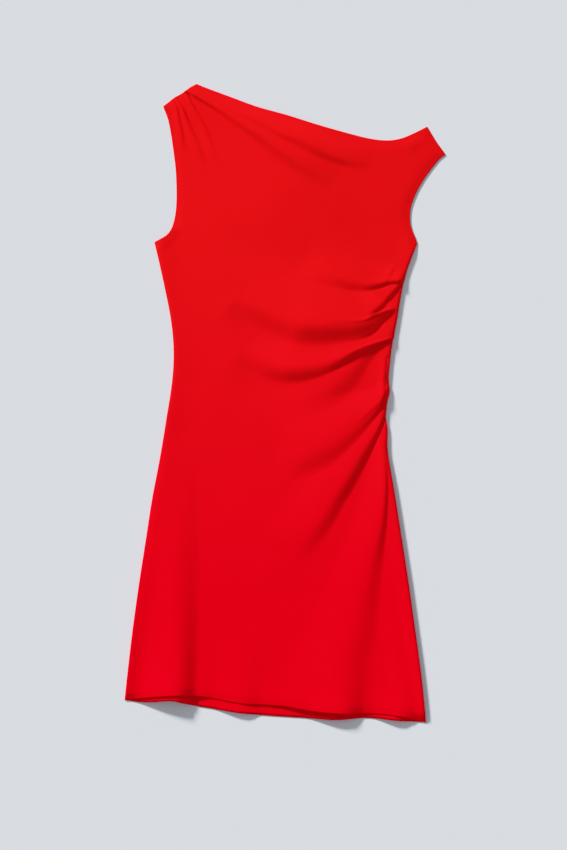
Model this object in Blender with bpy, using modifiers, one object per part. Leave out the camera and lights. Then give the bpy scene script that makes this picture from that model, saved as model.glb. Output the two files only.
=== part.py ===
"""A draped mini dress of fine jersey, laid flat on its back.

Two pieces of cloth are modelled, as they are cut: a plain back panel that lies on the surface,
and a front panel that lies on it, pleated into the left shoulder seam and gathered into the
right side seam, so that folds sweep across the waist and down the skirt.

Metres, +Z up. The wearer's shoulders point to +Y and the hem to -Y. Left and right are the
viewer's. The origin is on the surface, under the middle of the dress.
"""

from collections import namedtuple

import bpy
import numpy as np

# The cloth
WALL = 0.0012          # one layer of jersey
SEAM_GAP = 0.0003      # between the two panels
ROLL_RADIUS = 0.006    # how far in from a side seam the cloth takes to turn over
ROLL_HEIGHT = 0.0030   # how high the front stands where it turns over
REST_HEIGHT = 0.0010   # air between the layers away from the edges
ROLL_FADE = 0.022      # distance over which the roll sinks to the rest height
EDGE_EASE = 0.010      # distance over which neck and hem edges lift off the back
WAVE_BRIDGE = 0.004    # how much further out than the back the front leaves a shared wave
BACK_NECK_DROP = 0.006  # the back neckline lies this much lower and stays hidden
RED = (0.78, 0.004, 0.010, 1.0)
RED_BELOW = (0.60, 0.003, 0.008, 1.0)
CLOTH_ROUGHNESS = 0.85

Point = namedtuple("Point", "x y")

# The outline, as points along each edge of the laid dress. Both side seams run from the hem
# up to the underarm, the armholes from there to the shoulder, and the rest from left to right.
LEFT_SEAM = (
    Point(-0.2210, -0.4080),
    Point(-0.2090, -0.3040),
    Point(-0.1920, -0.1890),
    Point(-0.1720, -0.0730),
    Point(-0.1575, 0.0200),
    Point(-0.1530, 0.0720),
    Point(-0.1575, 0.1200),
    Point(-0.1660, 0.1630),
    Point(-0.1800, 0.2220),
)
RIGHT_SEAM = (
    Point(0.1940, -0.4390),
    Point(0.1860, -0.3620),
    Point(0.1700, -0.2470),
    Point(0.1520, -0.1310),
    Point(0.1425, -0.0730),
    Point(0.1390, -0.0150),
    Point(0.1425, 0.0300),
    Point(0.1475, 0.0810),
    Point(0.1560, 0.1290),
    Point(0.1640, 0.1690),
    Point(0.1820, 0.2200),
)
LEFT_ARMHOLE = (
    Point(-0.1800, 0.2220),
    Point(-0.1640, 0.2310),
    Point(-0.1540, 0.2470),
    Point(-0.1495, 0.2760),
    Point(-0.1500, 0.3100),
    Point(-0.1560, 0.3600),
    Point(-0.1680, 0.4090),
)
RIGHT_ARMHOLE = (
    Point(0.1820, 0.2200),
    Point(0.1750, 0.2380),
    Point(0.1718, 0.2560),
    Point(0.1760, 0.2800),
    Point(0.1890, 0.3040),
    Point(0.2040, 0.3260),
    Point(0.2210, 0.3430),
)
LEFT_SHOULDER = (
    Point(-0.1680, 0.4090),
    Point(-0.1500, 0.4230),
    Point(-0.1220, 0.4400),
)
NECKLINE = (
    Point(-0.1220, 0.4400),
    Point(-0.0640, 0.4180),
    Point(0.0240, 0.3900),
    Point(0.0900, 0.3710),
    Point(0.1240, 0.3635),
    Point(0.1450, 0.3620),
    Point(0.1670, 0.3680),
    Point(0.1960, 0.3810),
)
RIGHT_SHOULDER = (
    Point(0.1960, 0.3810),
    Point(0.2090, 0.3590),
    Point(0.2210, 0.3430),
)
FRONT_HEM = (
    Point(-0.2210, -0.4080),
    Point(-0.1680, -0.4030),
    Point(-0.1380, -0.4020),
    Point(-0.0720, -0.4115),
    Point(0.0010, -0.4180),
    Point(0.0560, -0.4275),
    Point(0.1180, -0.4280),
    Point(0.1650, -0.4325),
    Point(0.1940, -0.4390),
)
BACK_HEM = (
    Point(-0.2210, -0.4080),
    Point(-0.2000, -0.4110),
    Point(-0.1560, -0.4090),
    Point(-0.1210, -0.4170),
    Point(-0.0680, -0.4260),
    Point(0.0180, -0.4330),
    Point(0.0940, -0.4345),
    Point(0.1940, -0.4400),
)

# Where the shoulder seams end along the top edge, as shares of its width
LEFT_SHOULDER_END = 0.13
RIGHT_SHOULDER_START = 0.89
# The underarm's share of the way from hem to shoulder
UNDERARM = 0.78
# How fast the bends of the hem and of the top edge die out across the panel, as powers
HEM_REACH = 3
TOP_REACH = 5

# The grid of each panel: runs of even steps, as shares of the width or of the height
Run = namedtuple("Run", "start end steps")
FRONT_COLUMNS = (
    Run(0.0, 0.03, 3),
    Run(0.03, LEFT_SHOULDER_END, 4),
    Run(LEFT_SHOULDER_END, RIGHT_SHOULDER_START, 25),
    Run(RIGHT_SHOULDER_START, 0.97, 3),
    Run(0.97, 1.0, 3),
)
FRONT_ROWS = (
    Run(0.0, 0.02, 2),
    Run(0.02, 0.30, 11),
    Run(0.30, 0.72, 36),
    Run(0.72, UNDERARM, 3),
    Run(UNDERARM, 0.98, 13),
    Run(0.98, 1.0, 2),
)
BACK_COLUMNS = (
    Run(0.0, LEFT_SHOULDER_END, 7),
    Run(LEFT_SHOULDER_END, 0.40, 10),
    Run(0.40, RIGHT_SHOULDER_START, 11),
    Run(RIGHT_SHOULDER_START, 1.0, 3),
)
BACK_ROWS = (
    Run(0.0, 0.12, 5),
    Run(0.12, UNDERARM, 11),
    Run(UNDERARM, 1.0, 9),
)

# The folds. Each starts at a root, in a seam or at the hem, and runs along its route. It rises
# gently over "rise", to "crest" high, and falls over "fall" on one hand of someone who walks
# from the root: 1 is the left hand, -1 the right. Crest and fall are given at the root and
# from the middle on. "fade" is the share of the route where it starts to die out, and "layers"
# says whether the front folds alone or the back lifts with it.
Fold = namedtuple("Fold", "name route root_crest crest root_fall fall rise hand fade layers")
NARROWEST_FALL = 0.008  # what the grid can carry
ROUTE_SAMPLES = 80
EDGE_SAMPLES = 400

FOLDS = (
    Fold(
        "waist_1",
        (Point(0.168, 0.168), Point(0.144, 0.166), Point(0.115, 0.158), Point(0.080, 0.163),
         Point(0.027, 0.176)),
        0.0020, 0.0040, 0.004, 0.010, 0.018, 1, 0.55, "front",
    ),
    Fold(
        "waist_2",
        (Point(0.166, 0.170), Point(0.144, 0.144), Point(0.130, 0.131), Point(0.106, 0.114)),
        0.0060, 0.0060, 0.006, 0.006, 0.022, 1, 0.60, "front",
    ),
    Fold(
        "waist_3",
        (Point(0.160, 0.137), Point(0.139, 0.122), Point(0.110, 0.106), Point(0.062, 0.097),
         Point(0.020, 0.099), Point(-0.018, 0.112), Point(-0.060, 0.134)),
        0.0040, 0.0085, 0.010, 0.024, 0.032, 1, 0.60, "front",
    ),
    Fold(
        "waist_4",
        (Point(0.156, 0.091), Point(0.134, 0.083), Point(0.099, 0.067), Point(0.062, 0.049),
         Point(0.020, 0.043), Point(-0.021, 0.049), Point(-0.053, 0.076)),
        0.0060, 0.0085, 0.005, 0.024, 0.028, 1, 0.60, "front",
    ),
    Fold(
        "waist_5",
        (Point(0.122, 0.074), Point(0.107, 0.056), Point(0.089, 0.032), Point(0.067, 0.012),
         Point(0.034, -0.001), Point(-0.008, -0.012)),
        0.0015, 0.0040, 0.010, 0.018, 0.022, 1, 0.55, "front",
    ),
    Fold(
        "waist_tuck",
        (Point(0.138, 0.072), Point(0.137, 0.040), Point(0.133, 0.006)),
        0.0010, 0.0030, 0.006, 0.006, 0.014, 1, 0.90, "front",
    ),
    Fold(
        "hip_1",
        (Point(0.148, 0.028), Point(0.137, -0.001), Point(0.105, -0.036), Point(0.067, -0.072),
         Point(0.034, -0.088), Point(-0.002, -0.100)),
        0.0060, 0.0090, 0.006, 0.028, 0.036, 1, 0.60, "front",
    ),
    Fold(
        "hip_2",
        (Point(0.142, -0.008), Point(0.128, -0.038), Point(0.106, -0.085), Point(0.070, -0.144),
         Point(0.030, -0.205)),
        0.0050, 0.0055, 0.004, 0.015, 0.028, 1, 0.60, "front",
    ),
    Fold(
        "skirt_right",
        (Point(0.139, -0.056), Point(0.136, -0.120), Point(0.128, -0.210), Point(0.118, -0.282),
         Point(0.105, -0.375), Point(0.099, -0.470)),
        0.0030, 0.0050, 0.008, 0.034, 0.036, 1, 1.0, "front",
    ),
    Fold(
        "skirt_right_edge",
        (Point(0.146, -0.250), Point(0.158, -0.328), Point(0.182, -0.460)),
        0.0, 0.0020, 0.010, 0.012, 0.016, 1, 1.0, "front",
    ),
    Fold(
        "skirt_left",
        (Point(-0.142, 0.010), Point(-0.135, -0.120), Point(-0.131, -0.240), Point(-0.130, -0.340),
         Point(-0.131, -0.450)),
        0.0, 0.0120, 0.030, 0.032, 0.042, 1, 1.0, "both",
    ),
    Fold(
        "skirt_left_edge",
        (Point(-0.180, -0.200), Point(-0.190, -0.290), Point(-0.203, -0.360), Point(-0.216, -0.440)),
        0.0, 0.0025, 0.010, 0.012, 0.012, 1, 1.0, "front",
    ),
    Fold(
        "hem_wave_1",
        (Point(-0.046, -0.330), Point(-0.050, -0.380), Point(-0.052, -0.450)),
        0.0, 0.0050, 0.024, 0.026, 0.030, 1, 1.0, "both",
    ),
    Fold(
        "hem_wave_2",
        (Point(0.082, -0.350), Point(0.088, -0.400), Point(0.090, -0.460)),
        0.0, 0.0050, 0.026, 0.028, 0.034, 1, 1.0, "both",
    ),
    Fold(
        "hem_wave_3",
        (Point(0.166, -0.370), Point(0.170, -0.410), Point(0.174, -0.460)),
        0.0, 0.0035, 0.018, 0.018, 0.026, 1, 1.0, "both",
    ),
    Fold(
        "shoulder_pleat_long",
        (Point(-0.141, 0.433), Point(-0.112, 0.415), Point(-0.053, 0.375), Point(0.003, 0.336),
         Point(0.030, 0.318), Point(0.068, 0.302)),
        0.0030, 0.0045, 0.003, 0.012, 0.020, -1, 0.60, "front",
    ),
    Fold(
        "neck_trough",
        (Point(-0.075, 0.402), Point(-0.018, 0.377), Point(0.029, 0.353), Point(0.073, 0.334),
         Point(0.120, 0.328)),
        0.0010, 0.0030, 0.008, 0.010, 0.015, -1, 0.60, "front",
    ),
    Fold(
        "shoulder_pleat_2",
        (Point(-0.139, 0.434), Point(-0.127, 0.407), Point(-0.103, 0.363), Point(-0.074, 0.305)),
        0.0025, 0.0022, 0.003, 0.006, 0.010, 1, 0.50, "front",
    ),
    Fold(
        "shoulder_pleat_3",
        (Point(-0.153, 0.430), Point(-0.139, 0.403), Point(-0.117, 0.356), Point(-0.100, 0.318)),
        0.0025, 0.0022, 0.003, 0.006, 0.010, 1, 0.50, "front",
    ),
    Fold(
        "shoulder_pleat_4",
        (Point(-0.158, 0.424), Point(-0.148, 0.408), Point(-0.140, 0.380), Point(-0.134, 0.330)),
        0.0020, 0.0018, 0.003, 0.005, 0.008, 1, 0.50, "front",
    ),
)


def smooth_curve(points, shares):
    """Points at the given shares of the chord length of a smooth curve through the points.

    Between two points it is a cubic that takes its slope at each from the points beside it.
    """
    points = np.array(points, dtype=float)
    steps = np.linalg.norm(np.diff(points, axis=0), axis=1)
    knots = np.concatenate(([0.0], np.cumsum(steps))) / steps.sum()
    slopes = np.gradient(points, knots, axis=0)
    cell = np.clip(np.searchsorted(knots, shares, side="right") - 1, 0, len(steps) - 1)
    width = (knots[cell + 1] - knots[cell])[:, None]
    t = (shares - knots[cell])[:, None] / width
    start = (1 + 2 * t) * (1 - t) ** 2 * points[cell] + t * (1 - t) ** 2 * width * slopes[cell]
    end = t**2 * (3 - 2 * t) * points[cell + 1] + t**2 * (t - 1) * width * slopes[cell + 1]
    return start + end


def joined_curve(pieces, shares):
    """Points along several curves laid end to end, each as (start, end, points)."""
    found = np.empty((len(shares), 2))
    for start, end, points in pieces:
        here = (shares >= start) & (shares <= end)
        found[here] = smooth_curve(points, (shares[here] - start) / (end - start))
    return found


def grid_steps(runs):
    """The grid's places along one way, from its runs of even steps."""
    parts = [np.linspace(run.start, run.end, run.steps, endpoint=False) for run in runs]
    return np.concatenate(parts + [[runs[-1].end]])


def smooth_step(t):
    t = np.clip(t, 0.0, 1.0)
    return t * t * (3 - 2 * t)


def left_side(shares):
    return joined_curve(((0.0, UNDERARM, LEFT_SEAM), (UNDERARM, 1.0, LEFT_ARMHOLE)), shares)


def right_side(shares):
    return joined_curve(((0.0, UNDERARM, RIGHT_SEAM), (UNDERARM, 1.0, RIGHT_ARMHOLE)), shares)


def panel_outline(hem, neck_drop, columns, rows):
    """The plan of a panel as a grid of points, stretched between its four edges.

    Each row runs straight from the left edge to the right one. The hem and the top edge then
    bend it by what they stand out from their own chords, less and less away from them.
    """
    top_edge = joined_curve(
        (
            (0.0, LEFT_SHOULDER_END, LEFT_SHOULDER),
            (LEFT_SHOULDER_END, RIGHT_SHOULDER_START, NECKLINE),
            (RIGHT_SHOULDER_START, 1.0, RIGHT_SHOULDER),
        ),
        columns,
    )
    neck = np.clip(
        (columns - LEFT_SHOULDER_END) / (RIGHT_SHOULDER_START - LEFT_SHOULDER_END), 0.0, 1.0
    )
    top_edge[:, 1] -= neck_drop * np.sqrt(np.sin(np.pi * neck).clip(0.0))
    hem_edge = smooth_curve(hem, columns)
    left_edge = left_side(rows)
    right_edge = right_side(rows)
    u = columns[None, :, None]
    v = rows[:, None, None]
    across = (1 - u) * left_edge[:, None] + u * right_edge[:, None]
    hem_bend = hem_edge[None] - (1 - u) * hem_edge[0] - u * hem_edge[-1]
    top_bend = top_edge[None] - (1 - u) * top_edge[0] - u * top_edge[-1]
    return across + (1 - v) ** HEM_REACH * hem_bend + v**TOP_REACH * top_bend


def fold_height(plan, fold, bridge=0.0):
    """How far one fold lifts each point of the plan.

    It finds the nearest place on the route, and how far off to the falling hand the point
    lies. The height climbs as a smooth step over the rise, and drops as one over the fall.
    A bridge moves both steps outwards.
    """
    route = smooth_curve(fold.route, np.linspace(0.0, 1.0, ROUTE_SAMPLES))
    heading = np.gradient(route, axis=0)
    heading /= np.linalg.norm(heading, axis=1)[:, None]
    points = plan.reshape(-1, 2)
    away = points[:, None] - route[None]
    nearest = np.argmin((away**2).sum(axis=2), axis=1)
    gap = away[np.arange(len(points)), nearest]
    ahead = heading[nearest]
    off = fold.hand * (ahead[:, 0] * gap[:, 1] - ahead[:, 1] * gap[:, 0])
    beyond = np.abs((ahead * gap).sum(axis=1))
    share = nearest / (ROUTE_SAMPLES - 1)
    grown = smooth_step(2 * share)
    crest = fold.root_crest + (fold.crest - fold.root_crest) * grown
    fall = np.maximum(fold.root_fall + (fold.fall - fold.root_fall) * grown, NARROWEST_FALL)
    if fold.fade < 1.0:
        crest = crest * smooth_step((1 - share) / (1 - fold.fade))
    climb = smooth_step((off + bridge + fall / 2 + fold.rise) / fold.rise)
    drop = smooth_step((fall / 2 + bridge - off) / fall)
    ended = smooth_step(1 - beyond / fold.rise)
    return (crest * climb * drop * ended).reshape(plan.shape[:2])


def folds_height(plan, layers, bridge=0.0):
    return sum(fold_height(plan, fold, bridge) for fold in FOLDS if fold.layers == layers)


def side_distance(plan):
    """How far in each point lies from the nearest side seam or armhole."""
    shares = np.linspace(0.0, 1.0, EDGE_SAMPLES)
    edges = np.concatenate((left_side(shares), right_side(shares)))
    away = plan.reshape(-1, 1, 2) - edges[None]
    nearest = np.sqrt((away**2).sum(axis=2).min(axis=1)).reshape(plan.shape[:2])
    nearest[:, 0] = 0.0
    nearest[:, -1] = 0.0
    return nearest


def side_roll(plan):
    """The height of the front where it turns over at a side, by distance from that side.

    A quarter round of the roll's radius, which then sinks to the rest height.
    """
    inwards = side_distance(plan)
    turn = np.sqrt(1 - (1 - np.clip(inwards / ROLL_RADIUS, 0.0, 1.0)) ** 2)
    roll = REST_HEIGHT + (ROLL_HEIGHT - REST_HEIGHT) * np.exp(-((inwards / ROLL_FADE) ** 2))
    return turn * roll


def edge_ease(plan):
    """From 0 at the hem and neck edges, where the front lies on the back, to 1 inside them."""
    hem = np.linalg.norm(plan - plan[:1], axis=2)
    top = np.linalg.norm(plan - plan[-1:], axis=2)
    return smooth_step(np.minimum(hem, top) / EDGE_EASE)


def back_surface():
    """The underside of the back: flat on the surface, but for the skirt's shared waves."""
    plan = panel_outline(
        BACK_HEM, BACK_NECK_DROP, grid_steps(BACK_COLUMNS), grid_steps(BACK_ROWS)
    )
    return np.dstack((plan, folds_height(plan, "both")))


def front_surface():
    """The underside of the front: on the back's upper side, plus its own rolls and folds."""
    plan = panel_outline(FRONT_HEM, 0.0, grid_steps(FRONT_COLUMNS), grid_steps(FRONT_ROWS))
    waves = folds_height(plan, "both", WAVE_BRIDGE)
    air = side_roll(plan) * edge_ease(plan) + folds_height(plan, "front")
    return np.dstack((plan, waves + WALL + SEAM_GAP + air))


def cloth_material(name, colour):
    material = bpy.data.materials.new(name)
    material.use_nodes = True
    shader = material.node_tree.nodes["Principled BSDF"]
    shader.inputs["Base Color"].default_value = colour
    shader.inputs["Roughness"].default_value = CLOTH_ROUGHNESS
    shader.inputs["Metallic"].default_value = 0.0
    material.diffuse_color = colour
    return material


def cloth_panel(name, surface, material, collection):
    """An object of one layer of cloth: the grid of points, thickened upwards by the wall."""
    rows, columns = surface.shape[:2]
    number = np.arange(rows * columns).reshape(rows, columns)
    faces = np.stack(
        (number[:-1, :-1], number[:-1, 1:], number[1:, 1:], number[1:, :-1]), axis=-1
    )
    mesh = bpy.data.meshes.new(name)
    mesh.from_pydata(surface.reshape(-1, 3).tolist(), [], faces.reshape(-1, 4).tolist())
    mesh.materials.append(material)
    mesh.shade_smooth()
    panel = bpy.data.objects.new(name, mesh)
    collection.objects.link(panel)
    wall = panel.modifiers.new("wall", "SOLIDIFY")
    wall.thickness = WALL
    wall.offset = 1.0
    return panel


def main():
    for old in list(bpy.data.objects):
        bpy.data.objects.remove(old, do_unlink=True)
    dress = bpy.data.collections.new("draped_mini_dress")
    bpy.context.scene.collection.children.link(dress)
    cloth_panel("back_panel", back_surface(), cloth_material("back_jersey", RED_BELOW), dress)
    cloth_panel("front_panel", front_surface(), cloth_material("front_jersey", RED), dress)


main()
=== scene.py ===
# %% [markdown]
# # A draped mini dress, laid flat
#
# The dress is cut from two pieces of fine red jersey. The back is plain. The front is cut
# wider and longer than it ends up: pleats take in its left shoulder and gathers take in its
# right side seam, and the spare cloth sweeps across the waist in soft folds. This lesson
# makes each piece as a surface that numpy works out on a grid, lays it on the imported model,
# and gives it the look of matt viscose jersey under a soft studio light.

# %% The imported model
from collections import namedtuple
from math import atan2, pi, radians

import bpy
import numpy as np
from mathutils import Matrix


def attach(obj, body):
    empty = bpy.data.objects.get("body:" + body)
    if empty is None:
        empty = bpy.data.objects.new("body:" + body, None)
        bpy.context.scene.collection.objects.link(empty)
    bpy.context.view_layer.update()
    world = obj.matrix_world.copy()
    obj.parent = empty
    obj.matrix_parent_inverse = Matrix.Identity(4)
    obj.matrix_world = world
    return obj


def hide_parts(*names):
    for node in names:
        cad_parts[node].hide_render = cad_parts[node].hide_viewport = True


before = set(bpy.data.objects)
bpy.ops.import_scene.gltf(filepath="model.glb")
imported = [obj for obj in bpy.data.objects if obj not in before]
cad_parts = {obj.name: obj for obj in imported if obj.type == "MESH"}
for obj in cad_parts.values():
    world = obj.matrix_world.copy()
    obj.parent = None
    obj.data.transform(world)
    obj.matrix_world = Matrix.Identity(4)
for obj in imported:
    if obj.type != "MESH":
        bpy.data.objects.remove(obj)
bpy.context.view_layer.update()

# %% [markdown]
# ## The camera
#
# The photograph looks straight down at the dress. A long lens three metres up sees nearly
# no perspective, as the photograph does. The frame is 567 by 850 pixels, and a pixel is
# 1.377 mm at the cloth, because 639 of them span the dress's 0.88 m.

# %% Camera
PHOTO_WIDE, PHOTO_HIGH = 567, 850
PIXEL = 0.88 / 639
MIDDLE_ACROSS, MIDDLE_DOWN = 285.1, 403.5   # where the dress's middle lies in the photograph
CAMERA_HEIGHT = 3.2
SENSOR = 0.036

camera_data = bpy.data.cameras.new("overhead")
camera_data.sensor_width = SENSOR * 1000
camera_data.lens = SENSOR * 1000 * CAMERA_HEIGHT / (PHOTO_HIGH * PIXEL)
camera = bpy.data.objects.new("overhead", camera_data)
camera.location = (
    (PHOTO_WIDE / 2 - MIDDLE_ACROSS) * PIXEL,
    (MIDDLE_DOWN - PHOTO_HIGH / 2) * PIXEL,
    CAMERA_HEIGHT,
)
bpy.context.scene.collection.objects.link(camera)
bpy.context.scene.camera = camera
print("lens", round(camera_data.lens, 1), "mm, at", tuple(round(c, 4) for c in camera.location))

# %% [markdown]
# ## How the camera answers to light
#
# A camera doesn't answer evenly to light: it bends bright tones towards its white, so that
# a lit ridge of a red cloth is hardly brighter than the cloth beside it, while shadows keep
# their depth. The plain view transform keeps the red pure, and a curve adds that bend: the
# light, over the third root of one plus the cube of the light over the camera's white.

# %% Camera response
CAMERA_WHITE = 0.90
BEND = 3.0
CURVE_END = 2.5           # the brightest light that the curve covers
CURVE_SHARES = (0.06, 0.12, 0.20, 0.28, 0.36, 0.44, 0.56, 0.72)


def response(light):
    return light / (1 + (light / CAMERA_WHITE) ** BEND) ** (1 / BEND)


view = bpy.context.scene.view_settings
view.view_transform = "Standard"
view.use_curve_mapping = True
view.curve_mapping.white_level = (CURVE_END, CURVE_END, CURVE_END)
every_channel = view.curve_mapping.curves[3]
every_channel.points[-1].location = (1.0, response(CURVE_END))
for share in CURVE_SHARES:
    every_channel.points.new(share, response(share * CURVE_END))
view.curve_mapping.update()
print("light 1 shows as", round(response(1.0), 3))

# %% [markdown]
# ## Shader maths as Python
#
# A node graph is easier to read as an expression. `Value` wraps an output socket, and each
# operator on it adds one Math node. `Shader.node` adds any other node: first its settings,
# then the values or links of its inputs.

# %% Shader helpers


class Value:
    """One number that varies over the surface, as the output socket of a node."""

    def __init__(self, shader, socket):
        self.shader = shader
        self.socket = socket

    def _math(self, operation, first, second):
        return self.shader.node("ShaderNodeMath", {"operation": operation}, {0: first, 1: second})

    def __add__(self, other):
        return self._math("ADD", self, other)

    def __sub__(self, other):
        return self._math("SUBTRACT", self, other)

    def __rsub__(self, other):
        return self._math("SUBTRACT", other, self)

    def __mul__(self, other):
        return self._math("MULTIPLY", self, other)

    def over(self, least):
        return self._math("MAXIMUM", self, least)

    __radd__ = __add__
    __rmul__ = __mul__


class Shader:
    """A material's node tree, with its Principled BSDF ready to be fed."""

    def __init__(self, name):
        self.material = bpy.data.materials.new(name)
        self.material.use_nodes = True
        self.tree = self.material.node_tree
        self.surface = self.tree.nodes["Principled BSDF"]

    def node(self, kind, settings=None, inputs=None, output=0):
        made = self.tree.nodes.new(kind)
        for key, value in (settings or {}).items():
            setattr(made, key, value)
        for key, value in (inputs or {}).items():
            sockets = [socket for socket in made.inputs if socket.enabled]
            found = made.inputs[key] if isinstance(key, int) else None
            for socket in sockets:
                if found is None and socket.name == key:
                    found = socket
            self.feed(found, value)
        outputs = [socket for socket in made.outputs if socket.enabled]
        named = [socket for socket in outputs if socket.name == output]
        return Value(self, named[0] if named else outputs[0])

    def feed(self, socket, value):
        if isinstance(value, Value):
            self.tree.links.new(value.socket, socket)
        else:
            socket.default_value = value

    def finish(self, fixed, fed):
        """Constants go on the shader's own sockets, and what varies is linked."""
        for key, value in {**fixed, **fed}.items():
            self.feed(self.surface.inputs[key], value)
        return self.material


print("shader helpers ready")

# %% [markdown]
# ## The surface and the light
#
# The dress lies on a pale blue-grey backdrop. A lamp stands above it and to its left, only
# 20 degrees over the floor: the shadow of the left hem wave is 37 mm long and falls down
# and to the right. So low a light draws even slopes of a few degrees, and its shadows are
# sharp where the cloth touches the floor. A third of the light comes from everywhere, off
# the walls of the studio, so no fold goes black.

# %% Floor
FLOOR_SIZE = 12.0
FLOOR_COLOUR = (0.695, 0.747, 0.842, 1.0)

backdrop = Shader("backdrop")
floor_mesh = bpy.data.meshes.new("floor")
half_floor = FLOOR_SIZE / 2
floor_mesh.from_pydata(
    [(-half_floor, -half_floor, 0), (half_floor, -half_floor, 0),
     (half_floor, half_floor, 0), (-half_floor, half_floor, 0)],
    [],
    [(0, 1, 2, 3)],
)
floor_mesh.materials.append(
    backdrop.finish({"Roughness": 0.9, "Specular IOR Level": 0.1}, {"Base Color": FLOOR_COLOUR})
)
floor = bpy.data.objects.new("floor", floor_mesh)
bpy.context.scene.collection.objects.link(floor)
print("floor", FLOOR_SIZE, "m wide")

# %% Light
KEY_STRENGTH = 7.3
KEY_HEIGHT = radians(20)      # above the floor
KEY_FROM = (-0.60, 0.80)      # the way to the lamp, seen from above
KEY_SOFTNESS = radians(8)     # how wide the lamp looks from the dress
STUDIO_COLOUR = (1.0, 0.99, 0.98, 1.0)
STUDIO_STRENGTH = 0.42

key_data = bpy.data.lights.new("key", "SUN")
key_data.energy = KEY_STRENGTH
key_data.angle = KEY_SOFTNESS
key = bpy.data.objects.new("key", key_data)
key.rotation_euler = (radians(90) - KEY_HEIGHT, 0, atan2(KEY_FROM[0], -KEY_FROM[1]))
bpy.context.scene.collection.objects.link(key)

studio = bpy.data.worlds.new("studio")
studio.use_nodes = True
studio.node_tree.nodes["Background"].inputs["Color"].default_value = STUDIO_COLOUR
studio.node_tree.nodes["Background"].inputs["Strength"].default_value = STUDIO_STRENGTH
bpy.context.scene.world = studio
print("key light", KEY_STRENGTH, "and studio light", STUDIO_STRENGTH)

# %% [markdown]
# ## Curves
#
# A pattern cutter draws an edge with a few marks and joins them with a smooth line. So does
# this: a cubic between each two marks, which takes its slope at each from its neighbours.
# Edges that meet at a corner stay separate curves, laid end to end.

# %% Curve helpers


def ramp(t):
    """0 below 0, 1 above 1, and between them 3 t squared less 2 t cubed."""
    t = np.clip(t, 0.0, 1.0)
    return t * t * (3 - 2 * t)


def smooth_curve(marks, shares):
    """Points at the given shares of the chord length of a smooth curve through the marks."""
    marks = np.array(marks, dtype=float)
    steps = np.linalg.norm(np.diff(marks, axis=0), axis=1)
    knots = np.concatenate(([0.0], np.cumsum(steps))) / steps.sum()
    slopes = np.gradient(marks, knots, axis=0)
    cell = np.clip(np.searchsorted(knots, shares, side="right") - 1, 0, len(steps) - 1)
    width = (knots[cell + 1] - knots[cell])[:, None]
    t = (shares - knots[cell])[:, None] / width
    start = (1 + 2 * t) * (1 - t) ** 2 * marks[cell] + t * (1 - t) ** 2 * width * slopes[cell]
    end = t**2 * (3 - 2 * t) * marks[cell + 1] + t**2 * (t - 1) * width * slopes[cell + 1]
    return start + end


def joined_curve(pieces, shares):
    """Points along curves laid end to end, each given as (start, end, marks)."""
    found = np.empty((len(shares), 2))
    for start, end, marks in pieces:
        here = (shares >= start) & (shares <= end)
        found[here] = smooth_curve(marks, (shares[here] - start) / (end - start))
    return found


print("curve helpers ready")

# %% [markdown]
# ## The outline
#
# Laid flat, the dress shows a high left shoulder, a neckline that slants down to the right,
# two armholes, a waist that the gathers pull in on the right, and a flared skirt whose front
# hem lies a few millimetres above the back one. The marks are in metres from the middle.

# %% Outline marks
LEFT_SEAM = (
    (-0.2210, -0.4080), (-0.2160, -0.3620), (-0.2090, -0.3040), (-0.2010, -0.2470),
    (-0.1920, -0.1890), (-0.1830, -0.1310), (-0.1720, -0.0730), (-0.1625, -0.0150),
    (-0.1565, 0.0230), (-0.1535, 0.0600), (-0.1545, 0.0920), (-0.1580, 0.1200),
    (-0.1655, 0.1580), (-0.1740, 0.1970), (-0.1800, 0.2220),
)
RIGHT_SEAM = (
    (0.1940, -0.4390), (0.1923, -0.4200), (0.1860, -0.3620), (0.1780, -0.3040),
    (0.1700, -0.2470), (0.1610, -0.1890), (0.1520, -0.1310), (0.1455, -0.0920),
    (0.1410, -0.0620), (0.1410, -0.0340), (0.1385, -0.0160), (0.1410, 0.0030),
    (0.1440, 0.0180), (0.1422, 0.0270), (0.1432, 0.0430), (0.1450, 0.0620),
    (0.1475, 0.0810), (0.1490, 0.0900), (0.1515, 0.1010), (0.1550, 0.1200),
    (0.1580, 0.1390), (0.1636, 0.1680), (0.1664, 0.1780), (0.1760, 0.2050),
    (0.1820, 0.2200),
)
LEFT_ARMHOLE = (
    (-0.1800, 0.2220), (-0.1705, 0.2270), (-0.1620, 0.2325), (-0.1567, 0.2400),
    (-0.1532, 0.2500), (-0.1506, 0.2640), (-0.1494, 0.2870), (-0.1497, 0.3040),
    (-0.1510, 0.3260), (-0.1538, 0.3480), (-0.1570, 0.3700), (-0.1615, 0.3920),
    (-0.1680, 0.4090),
)
RIGHT_ARMHOLE = (
    (0.1820, 0.2200), (0.1797, 0.2272), (0.1751, 0.2382), (0.1722, 0.2492),
    (0.1720, 0.2602), (0.1735, 0.2712), (0.1773, 0.2822), (0.1822, 0.2932),
    (0.1885, 0.3042), (0.1958, 0.3152), (0.2040, 0.3262), (0.2136, 0.3373),
    (0.2211, 0.3430),
)
LEFT_SHOULDER = (
    (-0.1680, 0.4090), (-0.1608, 0.4145), (-0.1498, 0.4225), (-0.1387, 0.4290),
    (-0.1310, 0.4350), (-0.1220, 0.4400),
)
NECKLINE = (
    (-0.1220, 0.4400), (-0.1082, 0.4344), (-0.0862, 0.4262), (-0.0641, 0.4179),
    (-0.0421, 0.4097), (0.0018, 0.3973), (0.0459, 0.3835), (0.0900, 0.3711),
    (0.1120, 0.3656), (0.1341, 0.3624), (0.1451, 0.3624), (0.1568, 0.3642),
    (0.1782, 0.3725), (0.1957, 0.3813),
)
RIGHT_SHOULDER = ((0.1957, 0.3813), (0.2022, 0.3704), (0.2092, 0.3594), (0.2211, 0.3430))
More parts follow.
